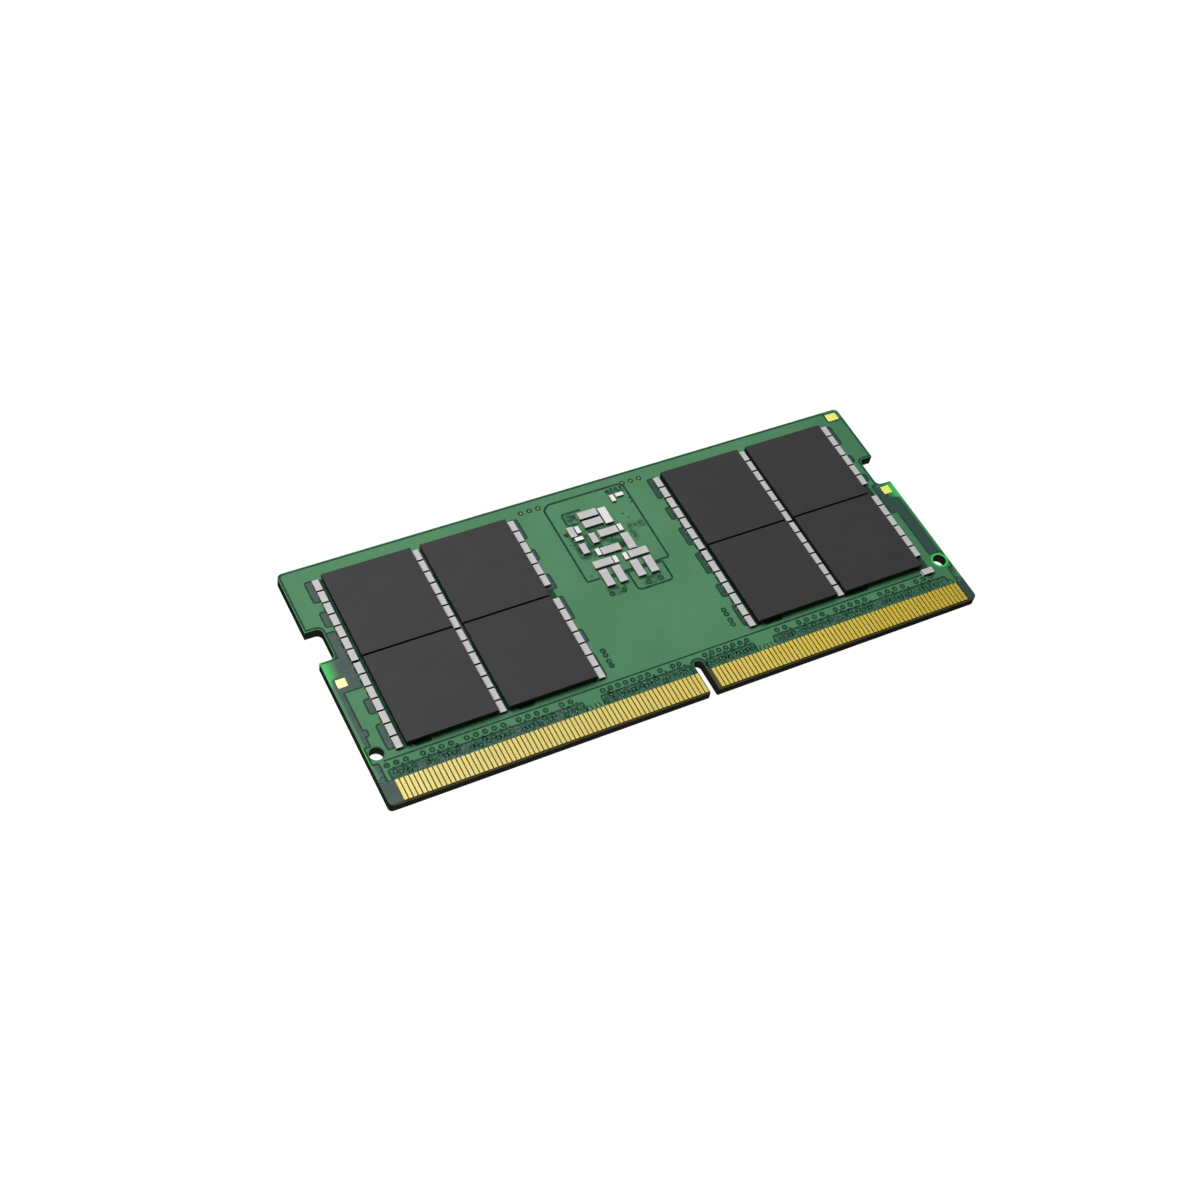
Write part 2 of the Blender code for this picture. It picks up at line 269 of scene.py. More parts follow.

# A painted glow: brighter green painted beside the holes, the notches and the ends stands in for the
# light that comes through the resin.
hole_x = sums(tree, "SUBTRACT", from_middle, hole_across)
hole_y = sums(tree, "SUBTRACT", y, hole_along)
from_hole = sums(tree, "ADD", times(tree, hole_x, hole_x), times(tree, hole_y, hole_y))
from_hole = sums(tree, "SQRT", from_hole)
hole_ring = ramp(tree, from_hole, 0.95, 1.10, 1.0, 0.0)
hole_ring = times(tree, hole_ring, ramp(tree, x, -10, 10, 0.22, 1.0))
from_end = sums(tree, "SUBTRACT", half_length, from_middle)
glow_reach = sums(tree, "MULTIPLY_ADD", ramp(tree, y, 0.4, 1.0), 1.15, 0.42)
end_glow = ramp(tree, sums(tree, "DIVIDE", from_end, glow_reach), 0.0, 1.05, 1.0, 0.0)
end_glow = times(tree, end_glow, ramp(tree, y, 3.0, 3.05, 1.0, 0.0))
by_hole = band(tree, y, -10.4, -7.8, 0.3)
by_notch = ramp(tree, y, -1.0, 0.3)
lit_left = larger(tree, by_hole, by_notch)
lit_right = larger(tree, ramp(tree, y, -0.4, 0.6), 0.5)
lit = larger(tree, lit_left, times(tree, ramp(tree, x, -10, 10), lit_right))
end_glow = times(tree, end_glow, larger(tree, lit, 0.22))
end_rim = times(tree, ramp(tree, from_middle, 34.40, 34.55), 0.3)
top_rim = times(tree, ramp(tree, y, 14.62, 14.74), 0.3)
from_notch = sums(tree, "ABSOLUTE", sums(tree, "SUBTRACT", y, notch_along))
notch_depth = ramp(tree, from_middle, 32.70, 32.80)
notch_rim = times(tree, notch_depth, ramp(tree, from_notch, 2.25, 2.35, 1.0, 0.0))
rim = larger(tree, end_rim, top_rim)
rim = larger(tree, rim, larger(tree, times(tree, notch_rim, 0.35), hole_ring))
rim = larger(tree, rim, end_glow)
rim = times(tree, rim, ramp(tree, y, -12.1, -11.6))
bright = blend_colours(tree, ramp(tree, x, -30, 30), paint(82, 206, 106), paint(66, 206, 96))
masked = blend_colours(tree, rim, speckled, bright)

# Bare laminate between the contacts and on the bevelled edge, and cut glass on the sides, painted near
# black as shade.
bare = blend_colours(tree, ramp(tree, weave, -0.5, 0.5), paint(96, 86, 58), paint(108, 97, 66))
# Painted shade: the bare laminate is painted darker toward the right end, where the light falls off.
bare = blend_colours(tree, ramp(tree, x, -20, 32), bare, paint(52, 38, 18))
below = ramp(tree, y, -12.42, -12.36, 1.0, 0.0)
stripped = times(tree, below, band(tree, x, -33.4, 33.8, 0.05))
faces = blend_colours(tree, stripped, masked, bare)
bevel = ramp(tree, y, -14.88, -14.86, 1.0, 0.0)
faces = blend_colours(tree, bevel, faces, paint(116, 110, 74))
layers = sums(tree, "SINE", times(tree, z, 52.0))
cut_glass = node(tree, "TexNoise", {"Vector": place, "Scale": 12.0, "Detail": 2.0})
# Painted shade: the upright sides are painted near black, with the glass layers in it.
side = blend_colours(tree, ramp(tree, layers, -0.6, 0.9), paint(12, 17, 5), paint(26, 34, 13))
side = blend_colours(tree, ramp(tree, cut_glass, 0.45, 0.75), side, paint(38, 46, 22))
facing = node(tree, "NewGeometry")
upward = node(tree, "SeparateXYZ", {"Vector": facing.outputs["Normal"]})
is_face = sums(tree, "GREATER_THAN", sums(tree, "ABSOLUTE", upward.outputs["Z"]), 0.3)
colour = blend_colours(tree, is_face, side, faces)
coat(tree, shader, colour, ramp(tree, grainy, 0.3, 0.7, 0.38, 0.52))
bumps(tree, shader, sums(tree, "MULTIPLY_ADD", weave, 0.5, grainy), 0.004 * mm, 0.6)

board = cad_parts["circuit_board"]
board.data.materials.clear()
board.data.materials.append(laminate)


# ---------------------------------------------------------------------------------------------
# Copper planes. Foil etched on each face and printed over with green mask, so that its outline,
# gaps and clearances show as a low step. The planes stop short of every edge, hole and slot.
def block(name, low, high):
    """A block between two corners, in millimetres."""
    bpy.ops.object.select_all(action="DESELECT")
    size = [(b - a) * mm for a, b in zip(low, high)]
    middle = [(a + b) / 2 * mm for a, b in zip(low, high)]
    bpy.ops.mesh.primitive_cube_add(size=1.0, location=middle, scale=size)
    piece = bpy.context.object
    piece.name = name
    settle(piece)
    return piece


def pick(piece, kind, wanted):
    """Goes into edit mode with the points, edges or faces selected that the test wants."""
    bpy.ops.object.select_all(action="DESELECT")
    piece.select_set(True)
    bpy.context.view_layer.objects.active = piece
    bpy.ops.object.mode_set(mode="EDIT")
    bpy.ops.mesh.select_mode(type=kind)
    bpy.ops.mesh.select_all(action="DESELECT")
    bpy.ops.object.mode_set(mode="OBJECT")
    mesh = piece.data
    for part in {"VERT": mesh.vertices, "EDGE": mesh.edges, "FACE": mesh.polygons}[kind]:
        part.select = wanted(part)
    bpy.ops.object.mode_set(mode="EDIT")


def edge_run(piece, edge):
    """The vector from one end of an edge to the other."""
    first, second = (piece.data.vertices[i].co for i in edge.vertices)
    return second - first


def upright(piece):
    """A test that wants the edges standing along Z."""
    def wanted(edge):
        run = edge_run(piece, edge)
        return abs(run.z) > 0.9 * run.length
    return wanted


def take_off(amount, steps=1, profile=0.5):
    """Bevels the picked edges by so many millimetres and leaves edit mode."""
    bpy.ops.mesh.bevel(offset=amount * mm, segments=steps, profile=profile, affect="EDGES")
    bpy.ops.object.mode_set(mode="OBJECT")


def slab(name, low, high, corner, steps=3):
    """A block with its upright edges rounded."""
    piece = block(name, low, high)
    pick(piece, "EDGE", upright(piece))
    take_off(corner, steps)
    return piece


def disc(name, x, y, radius, low, high, sides=14):
    """A short cylinder standing on z low."""
    bpy.ops.object.select_all(action="DESELECT")
    middle = (x * mm, y * mm, (low + high) / 2 * mm)
    bpy.ops.mesh.primitive_cylinder_add(
        vertices=sides, radius=radius * mm, depth=(high - low) * mm, location=middle
    )
    piece = bpy.context.object
    piece.name = name
    settle(piece)
    return piece


def copy_at(piece, x, y, z=0.0, turn=None):
    """A copy of a piece with its own mesh, turned and then moved by so many millimetres."""
    made = piece.copy()
    made.data = piece.data.copy()
    bpy.context.scene.collection.objects.link(made)
    if turn is not None:
        made.data.transform(turn)
    made.data.transform(Matrix.Translation((x * mm, y * mm, z * mm)))
    return made


def join(name, pieces):
    """Joins pieces into one object."""
    bpy.ops.object.select_all(action="DESELECT")
    for piece in pieces:
        piece.select_set(True)
    bpy.context.view_layer.objects.active = pieces[0]
    if len(pieces) > 1:
        bpy.ops.object.join()
    pieces[0].name = name
    return pieces[0]


def tracks(name, lines, width, low, high):
    """Draws lines point by point, stands them up as walls and thickens them to a width."""
    bpy.ops.object.select_all(action="DESELECT")
    bpy.ops.mesh.primitive_plane_add(size=width * mm)
    piece = bpy.context.object
    piece.name = name
    bpy.ops.object.mode_set(mode="EDIT")
    bpy.ops.mesh.select_mode(type="VERT")
    bpy.ops.mesh.delete(type="VERT")
    for line in lines:
        start = (line[0][0] * mm, line[0][1] * mm, low * mm)
        bpy.ops.mesh.primitive_plane_add(size=width * mm, location=start)
        bpy.ops.mesh.merge(type="CENTER")
        for here, there in zip(line, line[1:]):
            step = ((there[0] - here[0]) * mm, (there[1] - here[1]) * mm, 0)
            bpy.ops.mesh.extrude_vertices_move(TRANSFORM_OT_translate={"value": step})
    bpy.ops.mesh.select_all(action="SELECT")
    bpy.ops.mesh.remove_doubles(threshold=0.001 * mm)
    bpy.ops.mesh.select_all(action="SELECT")
    up = {"value": (0, 0, (high - low) * mm)}
    bpy.ops.mesh.extrude_edges_move(TRANSFORM_OT_translate=up)
    bpy.ops.object.mode_set(mode="OBJECT")
    wall = piece.modifiers.new("wall", "SOLIDIFY")
    wall.thickness = width * mm
    wall.offset = 0.0
    wall.use_even_offset = True
    bpy.ops.object.modifier_apply(modifier=wall.name)
    bpy.ops.object.mode_set(mode="EDIT")
    bpy.ops.mesh.select_all(action="SELECT")
    bpy.ops.mesh.normals_make_consistent(inside=False)
    bpy.ops.object.mode_set(mode="OBJECT")
    return piece


def rounded(points, radius, steps=3):
    """The points of a line with its corners turned into short arcs."""
    made = [points[0]]
    for i in range(1, len(points) - 1):
        corner = Vector(points[i])
        before = Vector(points[i - 1]) - corner
        after = Vector(points[i + 1]) - corner
        reach = min(radius, before.length / 2, after.length / 2)
        start, end = corner + before.normalized() * reach, corner + after.normalized() * reach
        for k in range(steps + 1):
            t = k / steps
            made.append(tuple((1 - t) ** 2 * start + 2 * t * (1 - t) * corner + t * t * end))
    return made + [points[-1]]


def cut_away(piece, tool):
    """Cuts one shape out of another and throws the tool away."""
    bpy.ops.object.select_all(action="DESELECT")
    bpy.context.view_layer.objects.active = piece
    cut = piece.modifiers.new("cut", "BOOLEAN")
    cut.operation = "DIFFERENCE"
    cut.solver = "EXACT"
    cut.use_self = True
    cut.object = tool
    bpy.ops.object.modifier_apply(modifier=cut.name)
    bpy.data.objects.remove(tool)


def finish_piece(piece, finish, slot, instead_of=()):
    """Gives a piece its finish and its body, and hides the CAD nodes it stands for; its slot is not
    used.
    """
    if finish:
        piece.data.materials.clear()
        piece.data.materials.append(finish)
    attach(piece, "root")
    if instead_of:
        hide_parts(*instead_of)


def two_tone(name, metal, gloss, scale, limits, tones, rough, relief):
    """A finish in two near tones of one fine grain, which also roughens and raises it."""
    finish, tree, shader, place = new_finish(name, rough[0], metal, gloss)
    grain = node(tree, "TexNoise", {"Vector": place, "Scale": scale, "Detail": 4.0})
    colour = blend_colours(tree, ramp(tree, grain, *limits), *tones)
    coat(tree, shader, colour, ramp(tree, grain, 0.3, 0.7, *rough))
    bumps(tree, shader, grain, relief * mm, 0.5)
    return finish


green_mask, tree, shader, place = new_finish("green_mask_on_copper", 0.42, 0.0, matt_mask)
parts = node(tree, "SeparateXYZ", {"Vector": place})
x, y = parts.outputs["X"], parts.outputs["Y"]
broad = node(tree, "TexNoise", {"Vector": place, "Scale": 0.11, "Detail": 2.0})
mottle = node(tree, "TexNoise", {"Vector": place, "Scale": 2.6, "Detail": 4.0})
orange_peel = node(tree, "TexNoise", {"Vector": place, "Scale": 9.0, "Detail": 3.0})
colour = blend_colours(tree, ramp(tree, broad, 0.3, 0.7), paint(83, 138, 99), paint(87, 144, 103))
# Painted shade: the mask is painted darker toward the right end, where the light falls off.
colour = blend_colours(tree, ramp(tree, x, 26, 34, 0.0, 0.75), colour, paint(64, 124, 88))
colour = blend_colours(tree, ramp(tree, mottle, 0.35, 0.75, 0.0, 0.35), colour, paint(78, 132, 95))
etched_areas = [
    (2.95, 5.05, 7.25, 8.10), (2.85, 3.45, 5.70, 7.30), (2.85, 5.00, 12.40, 13.10),
    (-3.0, -1.7, 10.3, 11.6), (-3.9, 1.9, 5.2, 8.9), (-3.2, -1.0, -0.25, 1.0), (1.0, 3.4, -0.25, 1.0),
]
etched_edge = 0.3
crowded = 0.0
for left, right, bottom, top in etched_areas:
    across = band(tree, x, left, right, etched_edge)
    along = band(tree, y, bottom, top, etched_edge)
    crowded = larger(tree, crowded, times(tree, across, along))
etching = node(tree, "TexNoise", {"Vector": place, "Scale": 2.1, "Detail": 5.0, "Roughness": 0.65})
etched = times(tree, crowded, ramp(tree, etching, 0.38, 0.54, 0.0, 0.85))
colour = blend_colours(tree, etched, colour, paint(28, 78, 56))
coat(tree, shader, colour, ramp(tree, mottle, 0.3, 0.7, 0.38, 0.5))
relief = sums(tree, "MULTIPLY_ADD", cloth_weave(tree, place, weave_pitch), 0.15, orange_peel)
bumps(tree, shader, relief, 0.003 * mm, 0.5)

# The film's dark green is partly the mask's own darker colour in the gaps and partly painted shade at
# the foil's step.
tones = paint(20, 64, 44), paint(38, 84, 62)
dark_mask = two_tone(
    "dark_mask_in_gaps", 0.0, matt_mask, 3.2, (0.42, 0.62), tones, (0.42, 0.55), 0.004
)
tones = paint(58, 112, 84), paint(86, 140, 108)
thin_track_mask = two_tone(
    "mask_on_thin_tracks", 0.0, matt_mask, 1.6, (0.38, 0.62), tones, (0.38, 0.5), 0.003
)

# Heights in millimetres over the board: foil is copper with mask on it, film the thin mask in its
# gaps, and both are rooted in the board by sunk. The film stands out past the foil by lip.
face = board_high.z / mm
back = board_low.z / mm
foil = 0.015
film = 0.007
sunk = 0.05
# The lip shows as a dark line round the foil: partly painted shade at its step, partly the mask's own
# colour.
lip = 0.19
edge_gap = 0.30
fan_top, fan_low = -11.05, -12.36
tool_depth = 0.2
past_board = 36.0
notch_floor, notch_low, notch_high, cutout_corner = 32.76, 2.70, 7.30, 0.7
plane_corner, pocket_corner = 0.35, 0.3
hole_clearance = {-1: 0.86, 1: 1.05}
slot_left, slot_right, slot_low, slot_top = 0.42, 2.12, -13.2, -10.62


def opening_tools(z, grow=0.0):
    """Tools that keep a copper plane clear of the notches, the holes and the key slot."""
    low, high = z - tool_depth, z + tool_depth
    made = []
    for end in (-1, 1):
        x0, x1 = sorted(((notch_floor + grow) * end, past_board * end))
        notch_box = (x0, notch_low + grow, low), (x1, notch_high - grow, high)
        made.append(slab("tool", *notch_box, cutout_corner))
        radius = hole_clearance[end] - 0.2 * grow
        made.append(disc("tool", hole_across * end, hole_along, radius, low, high, 28))
    slot_box = (slot_left + grow, slot_low, low), (slot_right - grow, slot_top - grow, high)
    made.append(slab("tool", *slot_box, cutout_corner, 6))
    return made


def pocket_tools(pockets, z, shrink=0.0):
    """Tools for rounded openings in a plane, given as left, right, low and high."""
    made = []
    for x0, x1, y0, y1 in pockets:
        widest_corner = min(x1 - x0, y1 - y0) / 2.2
        corner = min(pocket_corner, widest_corner) - shrink
        low = (x0 + shrink, y0 + shrink, z - tool_depth)
        high = (x1 - shrink, y1 - shrink, z + tool_depth)
        made.append(slab("tool", low, high, corner))
    return made


def round_tools(spots, radius, z):
    """Round tools for the clearances of vias and test points, all copies of one."""
    first = disc("tool", 0, 0, radius, z - tool_depth, z + tool_depth)
    made = [copy_at(first, x, y) for x, y in spots]
    bpy.data.objects.remove(first)
    return made


# Vias above the contacts, group by group: the first one's x, how many, and their pitch.
via_groups = (
    (-33.3, 3, 1.0), (-29.5, 4, 1.0), (-24.8, 5, 1.0), (-19.1, 4, 1.0), (-14.3, 2, 1.0),
    (-9.6, 7, 0.88), (-2.9, 1, 1.0), (-1.4, 2, 0.75), (2.45, 7, 0.86), (11.35, 2, 1.0),
    (14.1, 4, 1.0), (18.8, 5, 0.95), (24.6, 4, 1.0), (29.4, 3, 1.0),
)
upper_y, middle_y, lower_y = -10.62, -11.5, -11.82
upper_vias = [(first + i * step, upper_y) for first, count, step in via_groups for i in range(count)]
fan_zones = [(-33.5, -12.1), (-10.2, 0.42), (2.12, 8.2), (10.4, 33.0)]


def in_fan(x, margin):
    """Whether a place along the board lies in a fan-out zone."""
    return any(left + margin < x < right - margin for left, right in fan_zones)


random.seed(11)
half_pitch = 0.5
lower_vias = [
    (x + half_pitch + random.uniform(-0.1, 0.1), middle_y + random.uniform(-0.18, 0.12))
    for x, y in upper_vias
    if in_fan(x + half_pitch, 0.3)
]
lower_vias += [
    (x + random.uniform(-0.12, 0.12), lower_y + random.uniform(-0.12, 0.1))
    for x, y in upper_vias
    if in_fan(x, 0.3)
]
twin_vias = [(side * 7.3, y) for side in (-1, 1) for y in (-6.2, -6.8, -7.6, -8.2)]
centre_vias = [(-2.9, 0.05), (-1.5, 0.05), (1.6, 0.1), (3.0, 0.1)]
test_points = [(x, 13.55) for x in (-7.3, -6.25, -5.2, 5.3, 6.35, 7.4)]
gold_pads = [(-34.20, -33.15, -0.60, 0.45), (33.10, 34.15, 1.45, 2.55), (32.85, 34.30, 13.45, 14.50)]

# Openings in the planes: left, right, low and high of each.
column_pockets = [
    (-32.60, -31.60, 10.05, 13.05), (-32.60, -31.60, 6.75, 8.90),
    (-32.60, -31.60, -4.65, -2.65), (-32.60, -31.60, -9.15, -5.85),
    (-9.30, -8.00, 10.05, 13.05), (-9.30, -8.00, 6.95, 8.65), (-9.30, -8.00, 2.85, 5.05),
    (-9.30, -8.00, -1.45, 1.85), (-9.30, -8.00, -4.65, -2.75), (-9.30, -8.25, -9.25, -5.95),
    (8.00, 9.30, 9.95, 13.05), (8.00, 9.30, 6.75, 8.65), (8.00, 9.30, 2.85, 5.55),
    (8.00, 9.30, -1.35, 1.75), (8.00, 9.30, -4.75, -2.85), (8.25, 9.30, -8.95, -5.95),
    (31.50, 32.60, 9.85, 12.85), (31.50, 32.60, 6.95, 8.15), (31.50, 32.60, 3.85, 5.05),
    (-20.10, -19.30, 9.0, 12.6), (-20.10, -19.30, -0.5, 3.2),
    (20.20, 20.95, 8.0, 12.4), (20.20, 20.95, -6.2, -1.0),
]
end_pockets = [
    (-32.95, -31.70, 1.80, 6.25), (-36.00, -31.70, -1.35, 2.95), (-36.00, -33.82, -8.15, -0.60),
    (-34.60, -33.42, -6.95, -5.95), (-36.00, -33.85, -13.2, -10.0), (-36.00, -33.35, -15.2, -12.3),
    (32.15, 33.60, -1.35, 3.15), (32.95, 36.00, -0.20, 3.00), (32.95, 36.00, -8.05, 0.70),
    (33.85, 36.00, -13.2, -10.15), (33.70, 36.00, -15.2, -12.3), (32.65, 36.0, 13.25, 16.0),
]
fan_pockets = [(left, right, fan_low - 0.3, fan_top) for left, right in fan_zones]
for x, y in upper_vias:
    between = x + half_pitch
    if in_fan(between, 0.5):
        rise = fan_top + random.uniform(0.05, 0.3)
        left = between - random.uniform(0.12, 0.2)
        right = between + random.uniform(0.12, 0.2)
        fan_pockets.append((left, right, fan_top - 0.3, rise))
loop_pockets = [
    (-29.9, -28.0, -9.65, -8.9), (-18.6, -16.7, -9.65, -8.9),
    (10.5, 12.8, -9.65, -8.9), (20.6, 23.9, -9.65, -8.9),
]
lane_low, lane_high = -9.48, 12.85
outer_lanes = [
    (left, right, lane_low, lane_high)
    for left, right in ((-31.85, -30.5), (-20.9, -19.5), (19.5, 20.95), (30.5, 31.9))
]
inner_lanes = [(left, right, lane_low, lane_high) for left, right in ((-9.9, -8.6), (8.62, 9.9))]
centre_gaps = [
    (-3.10, 4.20, 1.98, 2.50), (-1.7, 0.6, 9.85, 10.35), (0.35, 1.5, 5.3, 6.1), (-3.7, -3.3, 5.95, 6.9),
]
# Small round openings near the middle: x, y and radius of each.
blotches = [
    (-2.1, 11.0, 0.26), (-4.0, 9.0, 0.28), (3.3, 9.6, 0.12), (3.7, 8.9, 0.10), (-3.9, 3.0, 0.12),
    (-4.2, 7.6, 0.1), (5.1, 11.4, 0.14), (5.0, 10.8, 0.11), (3.1, 13.05, 0.24), (3.65, 13.2, 0.2),
    (4.2, 13.1, 0.24), (4.8, 13.15, 0.2),
]
# Gaps that run as lines round the power stage, point by point.
outline_box = [
    (-3.2, 2.4), (-4.72, 2.4), (-4.72, 13.0), (-4.0, 13.6), (4.8, 13.6), (5.25, 13.2), (5.25, 2.4),
    (4.1, 2.4),
]
lower_box = [(0.0, 2.2), (0.0, -0.5), (4.25, -0.5), (4.25, 2.2)]
small_loop = [(-0.9, 11.75), (-3.25, 11.75), (-3.25, 10.05), (-1.8, 10.05)]
long_line = [(-33.4, -10.05), (30.6, -10.05)]
outlines = [rounded(outline_box, 0.25), rounded(lower_box, 0.5), rounded(small_loop, 0.35)]
outline_width, long_line_width = 0.26, 0.19
round_clearance = 0.33


def plane_blank(name, low, high, grow=0.0):
    """The sheet a copper plane is cut from, from the top edge down to the contacts."""
    reach_x, reach_y = half_length - edge_gap + grow, half_width - edge_gap + grow
    return slab(name, (-reach_x, fan_low, low), (reach_x, reach_y, high), plane_corner)


def cut_both(front_piece, back_piece, tool):
    """Cuts the front piece, and the back piece in the same places."""
    second = copy_at(tool, 0, 0, back - face)
    cut_away(front_piece, tool)
    cut_away(back_piece, second)


shared_pockets = column_pockets + fan_pockets
front_film = plane_blank("thin_mask_front", face - sunk, face + film, lip)
back_film = plane_blank("thin_mask_back", back - film, back + sunk, lip)
openings = opening_tools(face, lip) + pocket_tools(shared_pockets, face, lip)
cut_both(front_film, back_film, join("tool", openings))
cut_away(front_film, join("tool", pocket_tools(end_pockets, face, lip)))
finish_piece(front_film, dark_mask, "green_solder_mask")
finish_piece(back_film, dark_mask, "green_solder_mask")

front_plane = plane_blank("copper_plane_front", face - sunk, face + foil)
back_plane = plane_blank("copper_plane_back", back - foil, back + sunk)
openings = opening_tools(face) + pocket_tools(shared_pockets + outer_lanes, face)
cut_both(front_plane, back_plane, join("tool", openings))
front_pockets = end_pockets + inner_lanes + loop_pockets + centre_gaps
cut_away(front_plane, join("tool", pocket_tools(front_pockets, face)))
tool_low, tool_high = face - tool_depth, face + tool_depth
cut_away(front_plane, tracks("tool", outlines, outline_width, tool_low, tool_high))
cut_away(front_plane, tracks("tool", [long_line], long_line_width, tool_low, tool_high))
openings = round_tools(upper_vias + twin_vias, round_clearance, face)
cut_both(front_plane, back_plane, join("tool", openings))
blots = [disc("tool", x, y, radius, tool_low, tool_high) for x, y, radius in blotches]
openings = round_tools(centre_vias + test_points, round_clearance, face) + blots
cut_away(front_plane, join("tool", openings))
finish_piece(front_plane, green_mask, "green_solder_mask")
finish_piece(back_plane, green_mask, "green_solder_mask")


# ---------------------------------------------------------------------------------------------
# Vias and fan-out tracks. Plated holes with a ring of copper under the mask, and short tracks
# that lead each contact to one of them.
via_radius, via_bore, well_radius, dimple = 0.13, 0.06, 0.31, 0.03


def via_ring(radius, bore):
    """A ring of masked copper with a dimple where its hole is plugged."""
    ring = disc("via", 0, 0, radius, -sunk, foil, 12)
    pick(ring, "FACE", lambda part: part.normal.z > 0.9)
    bpy.ops.mesh.inset(thickness=(radius - bore) * mm, depth=0)
    bpy.ops.mesh.inset(thickness=bore * 0.35 * mm, depth=-dimple * mm)
    bpy.ops.object.mode_set(mode="OBJECT")
    return ring


ring = via_ring(via_radius, via_bore)
well = disc("well", 0, 0, well_radius, -sunk, film, 12)
flipped = Matrix.Rotation(math.pi, 4, "X")
front_rings = [copy_at(ring, x, y, face) for x, y in upper_vias + lower_vias + twin_vias + centre_vias]
back_rings = [copy_at(ring, x, y, back, flipped) for x, y in upper_vias + lower_vias + twin_vias]
front_wells = [copy_at(well, x, y, face) for x, y in lower_vias]
back_wells = [copy_at(well, x, y, back, flipped) for x, y in lower_vias]
bpy.data.objects.remove(ring)
bpy.data.objects.remove(well)


contact_rows = {
    "long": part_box("contacts_front_long"),
    "short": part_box("contacts_front_short"),
}
contact_pitch, contact_width = 0.5, 0.38
track_width, track_clearance = 0.10, 0.24
farthest_via, longest_bend, via_lead, shortest_run = 0.8, 0.9, 0.2, 0.02
first_turn, stub_turn, stub_end, stub_sway = -12.25, -12.05, -11.7, 0.25


def contact_places(row):
    """The x of each contact's middle in a row, in millimetres."""
    low, high = (corner.x / mm for corner in contact_rows[row])
    count = round((high - low - contact_width) / contact_pitch) + 1
    return [low + contact_width / 2 + i * contact_pitch for i in range(count)]


def fan_out():
    """A track from each contact up to the nearest free via, or a short stub where none is left."""
    free = upper_vias + lower_vias
    lines = []
    for x in contact_places("long") + contact_places("short"):
        near = sorted(free, key=lambda spot: abs(spot[0] - x) + 0.3 * abs(spot[1] - middle_y))
        if near and abs(near[0][0] - x) < farthest_via:
            via = near[0]
            free = [spot for spot in free if spot != via]
            bend = min(abs(via[0] - x), longest_bend)
            turn_y = max(first_turn, via[1] - via_lead - bend)
            points = [(x, fan_low), (x, turn_y), (via[0], min(turn_y + bend, via[1])), via]
        else:
            sway = random.uniform(-stub_sway, stub_sway)
            points = [(x, fan_low), (x, stub_turn), (x + sway, stub_end)]
        line = [points[0]]
        for point in points[1:]:
            if math.dist(point, line[-1]) > shortest_run:
                line.append(point)
        lines.append(line)
    return lines


fan_lines = fan_out()
wide = tracks("wide", fan_lines, track_clearance, face - sunk, face + film)
narrow = tracks("narrow", fan_lines, track_width, face - sunk, face + foil)
back_wide = copy_at(wide, 0, 0, back - film - face + sunk)
back_narrow = copy_at(narrow, 0, 0, back - foil - face + sunk)
for name, pieces, finish in (
    ("fan_out_gaps_front", [wide] + front_wells, dark_mask),
    ("fan_out_gaps_back", [back_wide] + back_wells, dark_mask),
    ("vias_and_tracks_front", [narrow] + front_rings, thin_track_mask),
    ("vias_and_tracks_back", [back_narrow] + back_rings, thin_track_mask),
):
    finish_piece(join(name, pieces), finish, "green_solder_mask")


# ---------------------------------------------------------------------------------------------
# Contacts and bare pads. Copper with nickel and hard gold on it, 262 contacts in four rows and
# a few square pads and test points; the gold wears paler in streaks where it is touched and
# gripped, and a painted sheen makes it paler toward the left end, where the light falls.
gold, tree, shader, place = new_finish("worn_gold_with_painted_sheen", 0.34, 1.0)
parts = node(tree, "SeparateXYZ", {"Vector": place})
stretched = node(tree, "Mapping", {"Vector": place, "Scale": (9.0, 1.2, 1.0)})
streaks = node(tree, "TexNoise", {"Vector": stretched, "Scale": 2.0, "Detail": 5.0})
tarnish = node(tree, "TexNoise", {"Vector": place, "Scale": 0.5, "Detail": 3.0})
# Painted sheen: the gold is painted paler toward the left end, where the light falls.
painted_sheen_along_board = ramp(tree, parts.outputs["X"], -34, 34)
colour = blend_colours(tree, painted_sheen_along_board, paint(196, 184, 110), paint(220, 193, 55))
colour = blend_colours(tree, ramp(tree, streaks, 0.35, 0.7, 0.0, 0.35), colour, paint(226, 208, 142))
colour = blend_colours(tree, ramp(tree, tarnish, 0.5, 0.75, 0.0, 0.3), colour, paint(200, 164, 76))
coat(tree, shader, colour, ramp(tree, streaks, 0.3, 0.7, 0.28, 0.44))
bumps(tree, shader, streaks, 0.002 * mm, 0.5)

bright_gold, tree, shader, place = new_finish("bright_gold_flash", 0.4, 0.35)
haze = node(tree, "TexNoise", {"Vector": place, "Scale": 3.0, "Detail": 4.0})
parts = node(tree, "SeparateXYZ", {"Vector": place})
# Painted sheen: paler toward the left end, as on the contacts.
painted_sheen_along_board = ramp(tree, parts.outputs["X"], -34, 34)
colour = blend_colours(tree, painted_sheen_along_board, paint(246, 248, 176), paint(252, 255, 118))
colour = blend_colours(tree, ramp(tree, haze, 0.4, 0.7, 0.0, 0.4), colour, paint(246, 244, 150))
coat(tree, shader, colour, ramp(tree, haze, 0.3, 0.7, 0.34, 0.5))
bumps(tree, shader, haze, 0.003 * mm, 0.5)

tones = paint(176, 140, 92), paint(206, 172, 116)
probed_gold = two_tone("probed_test_points", 0.3, 0.5, 12.0, (0.4, 0.6), tones, (0.4, 0.5), 0.002)

contact_trim, contact_corner, contact_soft = 0.14, 0.05, 0.012
pad_rise, pad_corner, pad_rim, pad_crown = 0.03, 0.12, 0.05, 0.008
dot_rise, dot_radius, dot_rim, dot_crown = 0.02, 0.11, 0.04, 0.006


